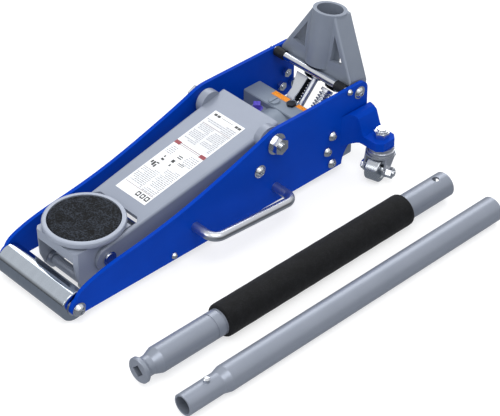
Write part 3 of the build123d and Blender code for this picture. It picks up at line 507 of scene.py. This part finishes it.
def printed(name, patches, ink, lift=0.0, thick=0.1):
    """Thin plates of one ink, from rectangles given as x0, x1, y0, y1."""
    shape = bmesh.new()
    for x0, x1, y0, y1 in patches:
        corners = [(x0, y0), (x1, y0), (x1, y1), (x0, y1)]
        face = shape.faces.new([shape.verts.new(place(x, y, film_height(x) + lift)) for x, y in corners])
        grown = bmesh.ops.extrude_face_region(shape, geom=[face])
        raised = [v for v in grown["geom"] if isinstance(v, bmesh.types.BMVert)]
        bmesh.ops.translate(shape, verts=raised, vec=(0, 0, thick * mm))
    bmesh.ops.recalc_face_normals(shape, faces=shape.faces)
    return shown(shape, name, "lift_arm", ink)


def words(x0, x1, y0, y1, step, tall, seed):
    """Rows of short bars across a column of the label, like lines of fine print."""
    draw = random.Random(seed)
    bars = []
    x = x0
    while x < x1:
        y = y1 - draw.uniform(0, 1.5)
        while y > y0 + 2:
            run = min(draw.uniform(1.6, 5.2), y - y0)
            bars.append((x, x + tall, y - run, y))
            y -= run + 0.9
            if draw.random() < 0.06:
                break
        x += step
    return bars


panel = (-282, -232.5, -half_label + 1.6, half_label - 1.6)
printed("label_panel", [panel], vinyl_pale, thick=0.05)
# each column: its ends along and across, the step and height of its rows, and the seed of its draw
fine = words(-268, -236, 1.5, 23.5, 2.5, 0.9, 3) + words(-268, -236, -23.5, -1.5, 2.5, 0.9, 4)
fine += words(-281, -271, -23.5, 23.5, 2.8, 1.0, 5)
printed("label_fine_print", fine, ink_grey, lift=0.05)
plain = words(-192, -150, 3, 24, 2.6, 1.0, 6) + words(-180, -150, -24, 1, 2.6, 1.0, 7)
plain += words(-221, -206, 8, 24, 2.8, 1.1, 8) + words(-221, -208, -24, -12, 2.8, 1.1, 9)
printed("label_plain_print", plain, ink_grey)
red_ends = [(-231, -225.5, 17, half_label), (-231, -225.5, -half_label, -17)]
printed("label_red", red_ends, ink_red)
lines = [
    (-229.8, -229.0, -17, 17), (-227.4, -226.8, -17, 17), (-270, -269.4, -24, 24), (-148.5, -148, -24, 24),
]
printed("label_lines", lines, ink_dark_red)
print("words", len(fine) + len(plain))

# %% [markdown]
# The signs are squares and bars, the plain shapes that warning and use signs have. Four small squares and
# a bar mark the rear end of the label, and three bold blocks with pale eyes close its front end, where a
# maker would set a name.

# %% Signs on the label
signs = [
    (-205, -200.5, -4, 0.5), (-199, -196, -17, -12.5), (-204, -201, -17, -15), (-197.5, -194, -1, 1),
    (-190, -185.5, -23, -20.5), (-190, -183, -19.5, -16.5), (-187, -182, -15.5, -13), (-191, -189, -16, -12),
    (-205, -204, 6, 16), (-202.5, -201.8, 6, 16), (-214, -212.6, -3, 4), (-211, -209.6, -3, 4),
]
signs += [(-289.5, -286, y, y + 4.5) for y in (-22, -16.5, 14, 19)]
signs += [(-288.2, -287.6, -9, 10)]
printed("label_signs", signs, ink_black, lift=0.02)
blocks = [(-145.5, -138.5, y, y + 5.6) for y in (3, 10.5, 18)]
printed("label_blocks", blocks, ink_black, lift=0.02)
eyes = [(x0 + 1.6, x1 - 1.6, y0 + 1.4, y1 - 1.4) for x0, x1, y0, y1 in blocks]
printed("label_block_eyes", eyes, vinyl_white, lift=0.12, thick=0.04)
print("signs", len(signs))

# %% [markdown]
# ## Foam grip
# The grip is a foam tube slipped over the handle. It is spun from its profile with rounded ends and a
# very slight swell, because foam pushed onto a tube is never a perfect cylinder.

# %% Spin the foam grip


def spun(profile, centre, axis, steps=64):
    """Spin (distance, radius) points round an axis through centre."""
    shape = bmesh.new()
    side = Vector((0, 0, 1)) if abs(axis.z) < 0.9 else Vector((1, 0, 0))
    points = [shape.verts.new(centre + axis * d * mm + side * r * mm) for d, r in profile]
    lines = [shape.edges.new(pair) for pair in zip(points, points[1:])]
    bmesh.ops.spin(
        shape, geom=points + lines, cent=centre, axis=axis, angle=math.tau, steps=steps, use_merge=True,
        use_duplicate=False,
    )
    bmesh.ops.remove_doubles(shape, verts=shape.verts, dist=1e-6)
    bmesh.ops.recalc_face_normals(shape, faces=shape.faces)
    return shape


low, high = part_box("foam_grip")
grip_length = (high.x - low.x) / mm
grip_centre = Vector((high.x, (low.y + high.y) / 2, (low.z + high.z) / 2))
grip_radius = 20.45
swell, swell_step, swell_count = 0.18, 15.4, 19
rounded_end = [(0, 16.2), (0.2, 18.2), (1.0, 19.5), (2.4, 20.2), (6, grip_radius)]
grip = list(rounded_end)
grip += [(10 + i * swell_step, grip_radius - swell * (i % 2)) for i in range(swell_count)]
grip += [(grip_length - along, radius) for along, radius in reversed(rounded_end)]
grip_shape = spun(grip, grip_centre, Vector((-1, 0, 0)), 72)
foam = shown(grip_shape, "foam_grip_tube", "lower_handle", closed_cell_foam)
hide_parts("foam_grip")
print("foam grip", round(grip_length, 1), "mm long")

# %% [markdown]
# ## Saddle pad
# The pad is a disc of rubber pressed into the cup. Its top edge is rounded and its face dips slightly in
# the middle, which a spun profile gives in one step.

# %% Spin the rubber pad
low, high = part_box("saddle_pad")
pad_radius = (high.x - low.x) / 2 / mm
pad_top = (high.z - low.z) / mm
pad_profile = [(0, 0), (0, pad_radius), (pad_top - 1.6, pad_radius), (pad_top - 0.7, pad_radius - 0.35)]
pad_profile += [(pad_top - 0.15, pad_radius - 1.1), (pad_top, pad_radius - 2.4)]
pad_profile += [(pad_top - 0.1, pad_radius * 0.6), (pad_top - 0.2, 0)]
pad_centre = Vector(((low.x + high.x) / 2, (low.y + high.y) / 2, low.z))
pad_shape = spun(pad_profile, pad_centre, Vector((0, 0, 1)), 96)
pad = shown(pad_shape, "rubber_pad", "saddle", gritty_rubber)
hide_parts("saddle_pad")
print("pad radius", round(pad_radius, 1))

# %% [markdown]
# ## Floor, light and camera
# A studio product picture has a pale seamless floor and large soft lights. One big light above and behind
# gives the long highlights on the painted steel, and a pale world fills the shadows. Chrome would vanish
# against a white floor, so what it mirrors is a grey card in the same place, as a photographer would lay.

# %% Floor
floor_half = 12.0
floor_drop, slate_drop = 0.0004, 0.0008
floor_mesh = bpy.data.meshes.new("studio_floor")
floor_shape = bmesh.new()
bmesh.ops.create_grid(floor_shape, x_segments=1, y_segments=1, size=floor_half)
floor_shape.to_mesh(floor_mesh)
floor_shape.free()
floor = bpy.data.objects.new("studio_floor", floor_mesh)
bpy.context.scene.collection.objects.link(floor)
floor.location.z = -floor_drop
white_card, card_tree = blank("white_card")
card = add(
    card_tree, "ShaderNodeBsdfPrincipled",
    {
        "Base Color": linear("#B4B4B4"), "Roughness": 0.95, "Specular IOR Level": 0.0,
        "Emission Color": linear("#FFFFFF"), "Emission Strength": 0.62,
    },
)
close(card_tree, card)
floor_mesh.materials.append(white_card)
floor.visible_glossy = False
floor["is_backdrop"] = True
slate_mesh = floor_mesh.copy()
slate = bpy.data.objects.new("studio_slate", slate_mesh)
bpy.context.scene.collection.objects.link(slate)
slate.location.z = -slate_drop
slate.visible_camera = slate.visible_diffuse = slate.visible_shadow = False
grey_card, slate_tree = blank("grey_card")
dull = add(slate_tree, "ShaderNodeEmission", {"Color": linear("#878C94"), "Strength": 1.0})
close(slate_tree, dull)
slate_mesh.materials.clear()
slate_mesh.materials.append(grey_card)
slate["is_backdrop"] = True
print("floor laid")

# %% Lights
world = bpy.data.worlds.new("studio")
bpy.context.scene.world = world
world.use_nodes = True
sky = world.node_tree
sky.nodes.clear()
view = add(sky, "ShaderNodeTexCoord")
split = add(sky, "ShaderNodeSeparateXYZ", {"Vector": view.outputs["Generated"]})
rise = add(
    sky, "ShaderNodeMapRange",
    {"Value": split.outputs["Z"], "From Min": 0.03, "From Max": 0.4, "To Min": 0.08, "To Max": 0.9},
)
glow = add(sky, "ShaderNodeBackground", {"Color": linear("#FAFBFC"), "Strength": rise.outputs["Result"]})
add(sky, "ShaderNodeOutputWorld", {"Surface": glow.outputs[0]})


def soft_light(name, location, target, size, power):
    """A white rectangular area light aimed at a point."""
    lamp = bpy.data.lights.new(name, "AREA")
    lamp.shape = "RECTANGLE"
    lamp.size, lamp.size_y = size
    lamp.energy = power
    holder = bpy.data.objects.new(name, lamp)
    bpy.context.scene.collection.objects.link(holder)
    holder.location = location
    holder.rotation_euler = (Vector(target) - Vector(location)).to_track_quat("-Z", "Y").to_euler()
    return holder


jack_middle = (0, 0, 0.05)
lights = [
    soft_light("key", (0.5, 0.9, 2.2), jack_middle, (1.6, 1.6), power=26),
    soft_light("back", (-1.4, -1.2, 1.6), jack_middle, (1.8, 1.0), power=16),
    soft_light("side", (1.8, -0.6, 1.0), jack_middle, (1.0, 1.0), power=8),
]
print("lights", len(lights))

# %% Camera
camera_x, camera_y, camera_z = 950.9, 1360.8, 1400.2
yaw, pitch = math.radians(43.158), math.radians(37.818)
lens_mm = 135.5
camera_data = bpy.data.cameras.new("camera")
camera = bpy.data.objects.new("camera", camera_data)
bpy.context.scene.collection.objects.link(camera)
camera.location = place(camera_x, camera_y, camera_z)
sight = Vector((-math.sin(yaw) * math.cos(pitch), -math.cos(yaw) * math.cos(pitch), -math.sin(pitch)))
camera.rotation_euler = sight.to_track_quat("-Z", "Y").to_euler()
camera_data.sensor_width = 36.0
camera_data.lens = lens_mm
camera_data.clip_end = 50.0
bpy.context.scene.camera = camera
bpy.context.scene.view_settings.view_transform = "Standard"
print("camera at", [round(v, 3) for v in camera.location])

# %% [markdown]
# ## The size
# The dressed model has to stay inside the solid model's box, so both boxes are printed.

# %% Print the sizes and finish
made_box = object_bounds()
for title, box in (("cad", cad_box), ("visual", made_box)):
    print(title, [[round(v, 4) for v in c] for c in box])
